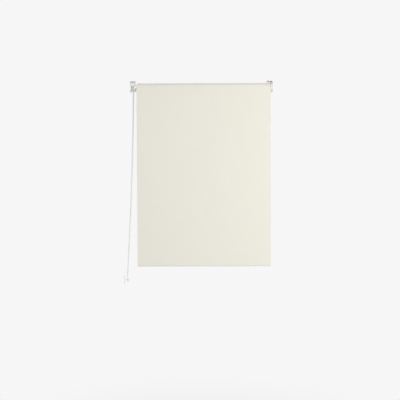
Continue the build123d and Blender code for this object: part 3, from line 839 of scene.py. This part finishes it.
class ROLLER_BLIND_OT_springs(bpy.types.Operator):
    """The clutch's two wrap springs, wound close with a tang each, and the spring behind the pin."""
    bl_idname = "roller_blind.springs"
    bl_label = "Springs"

    def execute(self, context):
        tree = wound_wire(drawn_wire())
        self.wrap_coil("outer_wrap_coil", "outer_wrap_spring", tree, tang_first=True)
        self.wrap_coil("inner_wrap_coil", "inner_wrap_spring", tree, tang_first=False)
        self.pin_coil(tree)
        return {"FINISHED"}

    def wrap_coil(self, name, node, tree, tang_first):
        """A close coil whose first or last turn ends in a tang that stands out from it."""
        low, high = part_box(node)
        body = (high.y - low.y) / 2
        reach = high.z - AXLE.z
        wall, wire, corner = 0.00098, 0.00108, 0.0002
        turns, corners = 9, 40
        tang_lean, tang_past_body = radians(19.9), 0.0016
        tang_turn = pi / 2 - tang_lean if tang_first else pi / 2 + tang_lean
        start = tang_turn if tang_first else tang_turn - 2 * pi * turns
        places = coil_places(low.x + wire / 2, high.x - low.x - wire, body - wall / 2, turns, corners,
                             start)
        tip = min(reach / sin(tang_turn), body + tang_past_body)
        tang = (places[0 if tang_first else -1][0], AXLE.y + tip * cos(tang_turn),
                AXLE.z + tip * sin(tang_turn))
        places = [tang, *places] if tang_first else [*places, tang]
        piece = grown_piece(name, places, tree,
                            {"Wire width": wall, "Wire height": wire, "Corner": corner})
        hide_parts(node)
        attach(piece, "roller")

    def pin_coil(self, tree):
        """The open coil behind the idle pin, closer at its ends and in its middle."""
        low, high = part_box("pin_spring")
        wire, turns, corners, closing = 0.0009, 7, 24, 0.035
        corner = wire * 0.45
        places = coil_places(low.x + wire / 2, high.x - low.x - wire, (high.y - low.y) / 2 - wire / 2,
                             turns, corners, closing=closing)
        piece = grown_piece("pin_coil", places, tree,
                            {"Wire width": wire, "Wire height": wire, "Corner": corner})
        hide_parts("pin_spring")
        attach(piece, "roller")
        length = high.x - low.x
        pushed = -min(JOINTS["pin_slide"]["range_m"])
        (length - pushed) / length
        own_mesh(piece)


class ROLLER_BLIND_OT_finishes(bpy.types.Operator):
    """Finishes of the CAD pieces: brackets, clutch, tube, plug, pin, bar and tidy."""
    bl_idname = "roller_blind.finishes"
    bl_label = "Finishes"

    def execute(self, context):
        finish_nodes(powder_coat, "control_bracket", "idle_bracket")
        finish_nodes(moulded_white, "control_housing", "tube_adaptor", "idle_plug", "plug_cap",
                     "idle_bush", "chain_tidy")
        finish_nodes(moulded_beads, "drive_wheel", "chain_connector")
        finish_nodes(mill_aluminium, "roller_tube", "bottom_bar")
        finish_nodes(zinc_plate, "spindle_washer", "spindle_screw", "idle_pin")
        finish_nodes(natural_strip, "groove_strip")
        return {"FINISHED"}


def new_lamp(name, place, target, size, power):
    """A square soft lamp that looks at the target."""
    lamp = bpy.data.lights.new(name, "AREA")
    lamp.shape = "SQUARE"
    lamp.size = size
    lamp.energy = power
    holder = bpy.data.objects.new(name, lamp)
    holder.location = place
    holder.visible_camera = False
    holder.rotation_euler = (Vector(target) - Vector(place)).to_track_quat("-Z", "Y").to_euler()
    bpy.context.scene.collection.objects.link(holder)


def backdrop_grey(studio):
    """The backdrop's grey as a colour."""
    return (studio.background, studio.background, studio.background, 1)


def pale_world(studio):
    """A world that lights evenly and shows the backdrop's grey to the camera and in reflections."""
    world = bpy.data.worlds.new("studio")
    camera = source(empty_tree(world), "ShaderNodeLightPath", "Is Camera Ray")
    seen = camera + camera.beside("Is Glossy Ray") + camera.beside("Is Transmission Ray")
    lit = seen.node("ShaderNodeBackground", {"Color": (1, 1, 1, 1), "Strength": studio.ambient})
    shown = seen.node("ShaderNodeBackground", {"Color": backdrop_grey(studio), "Strength": 1.0})
    both = seen.node("ShaderNodeMixShader", {0: seen.maths("MINIMUM", 1.0), 1: lit, 2: shown})
    seen.node("ShaderNodeOutputWorld", {"Surface": both})
    bpy.context.scene.world = world


def pale_floor(studio):
    """A floor that keeps the object's shadow near it and fades into the backdrop."""
    centre = ((CAD_BOX[0] + CAD_BOX[1]) / 2).xy
    rings, spokes, reach = 6, 48, 7.0
    points = [(centre.x, centre.y, studio.floor_height)]
    for ring in range(1, rings + 1):
        for spoke in range(spokes):
            turn = 2 * pi * spoke / spokes
            points.append((centre.x + reach * ring / rings * cos(turn),
                           centre.y + reach * ring / rings * sin(turn), studio.floor_height))
    faces = [(0, 1 + spoke, 1 + (spoke + 1) % spokes) for spoke in range(spokes)]
    for ring in range(rings - 1):
        for spoke in range(spokes):
            after = (spoke + 1) % spokes
            near, far = 1 + ring * spokes, 1 + (ring + 1) * spokes
            faces.append((near + spoke, far + spoke, far + after, near + after))
    mesh = bpy.data.meshes.new("floor")
    mesh.from_pydata(points, [], faces)
    material = bpy.data.materials.new("floor")
    place = source(empty_tree(material), "ShaderNodeTexCoord", "Object")
    east, north = place.part("X") - centre.x, place.part("Y") - centre.y
    away = (east * east + north * north) ** 0.5
    # How much of the backdrop's grey the camera sees: near the object, and all of it further away
    near_grey, fade_from, fade_to = 0.88, 0.5, 1.5
    camera = source(place.tree, "ShaderNodeLightPath", "Is Camera Ray")
    fade = camera * (near_grey + (1 - near_grey) * away.step(fade_from, fade_to))
    matt = place.node("ShaderNodeBsdfDiffuse", {"Color": (0.5, 0.5, 0.5, 1)})
    plain = place.node("ShaderNodeEmission", {"Color": backdrop_grey(studio), "Strength": 1.0})
    both = place.node("ShaderNodeMixShader", {0: fade, 1: matt, 2: plain})
    place.node("ShaderNodeOutputMaterial", {"Surface": both})
    mesh.materials.append(material)
    floor = bpy.data.objects.new("floor", mesh)
    bpy.context.scene.collection.objects.link(floor)


class ROLLER_BLIND_OT_stage(bpy.types.Operator):
    """Pale floor and backdrop, soft lamps, and the camera at the photograph's angle."""
    bl_idname = "roller_blind.stage"
    bl_label = "Stage"

    def execute(self, context):
        studio = context.scene.blind_studio
        pale_world(studio)
        pale_floor(studio)
        target = (0, 0, (DROP_LOW.z + AXLE.z) / 2)
        for name, (place, size) in LAMPS.items():
            new_lamp(name, place, target, size, getattr(studio, f"{name}_power"))
        camera = bpy.data.objects.new("camera", bpy.data.cameras.new("camera"))
        camera.data.sensor_width = 36
        camera.data.lens = studio.focal_length
        place = Matrix.Translation((studio.aside, -studio.distance, studio.height))
        turned = Matrix.Rotation(studio.yaw, 4, "Z") @ Matrix.Rotation(pi / 2 - studio.pitch, 4, "X")
        camera.matrix_world = place @ (turned @ Matrix.Rotation(studio.roll, 4, "Z"))
        context.scene.collection.objects.link(camera)
        context.scene.camera = camera
        context.scene.view_settings.view_transform = "Standard"
        return {"FINISHED"}


class ROLLER_BLIND_PT_sidebar(bpy.types.Panel):
    """Lists the settings and the operators in the sidebar."""
    bl_idname = "ROLLER_BLIND_PT_sidebar"
    bl_label = "Roller blind"
    bl_space_type = "VIEW_3D"
    bl_region_type = "UI"
    bl_category = "Roller blind"

    def draw(self, context):
        scene = context.scene
        for group in (scene.blind_cloth, scene.blind_chain, scene.blind_finish, scene.blind_studio):
            box = self.layout.box()
            for name in group.__annotations__:
                box.prop(group, name)
        for operator in OPERATORS:
            self.layout.operator(operator.bl_idname)


SETTINGS = {
    "blind_cloth": ClothSettings,
    "blind_chain": ChainSettings,
    "blind_finish": FinishSettings,
    "blind_studio": StudioSettings,
}
OPERATORS = (
    ROLLER_BLIND_OT_wound_cloth,
    ROLLER_BLIND_OT_hem_cloth,
    ROLLER_BLIND_OT_hanging_cloth,
    ROLLER_BLIND_OT_bead_chain,
    ROLLER_BLIND_OT_springs,
    ROLLER_BLIND_OT_finishes,
    ROLLER_BLIND_OT_stage,
)


def register():
    """Registers the settings, operators and panel, and hangs the settings on the scene."""
    for kind in (*SETTINGS.values(), *OPERATORS, ROLLER_BLIND_PT_sidebar):
        bpy.utils.register_class(kind)
    for name, kind in SETTINGS.items():
        setattr(bpy.types.Scene, name, PointerProperty(type=kind))


def unregister():
    """Undoes what register() did."""
    for name in SETTINGS:
        delattr(bpy.types.Scene, name)
    for kind in reversed((*SETTINGS.values(), *OPERATORS, ROLLER_BLIND_PT_sidebar)):
        bpy.utils.unregister_class(kind)


def main():
    """Makes every piece in order."""
    register()
    for operator in OPERATORS:
        group, name = operator.bl_idname.split(".")
        getattr(getattr(bpy.ops, group), name)()


if __name__ == "__main__":
    main()
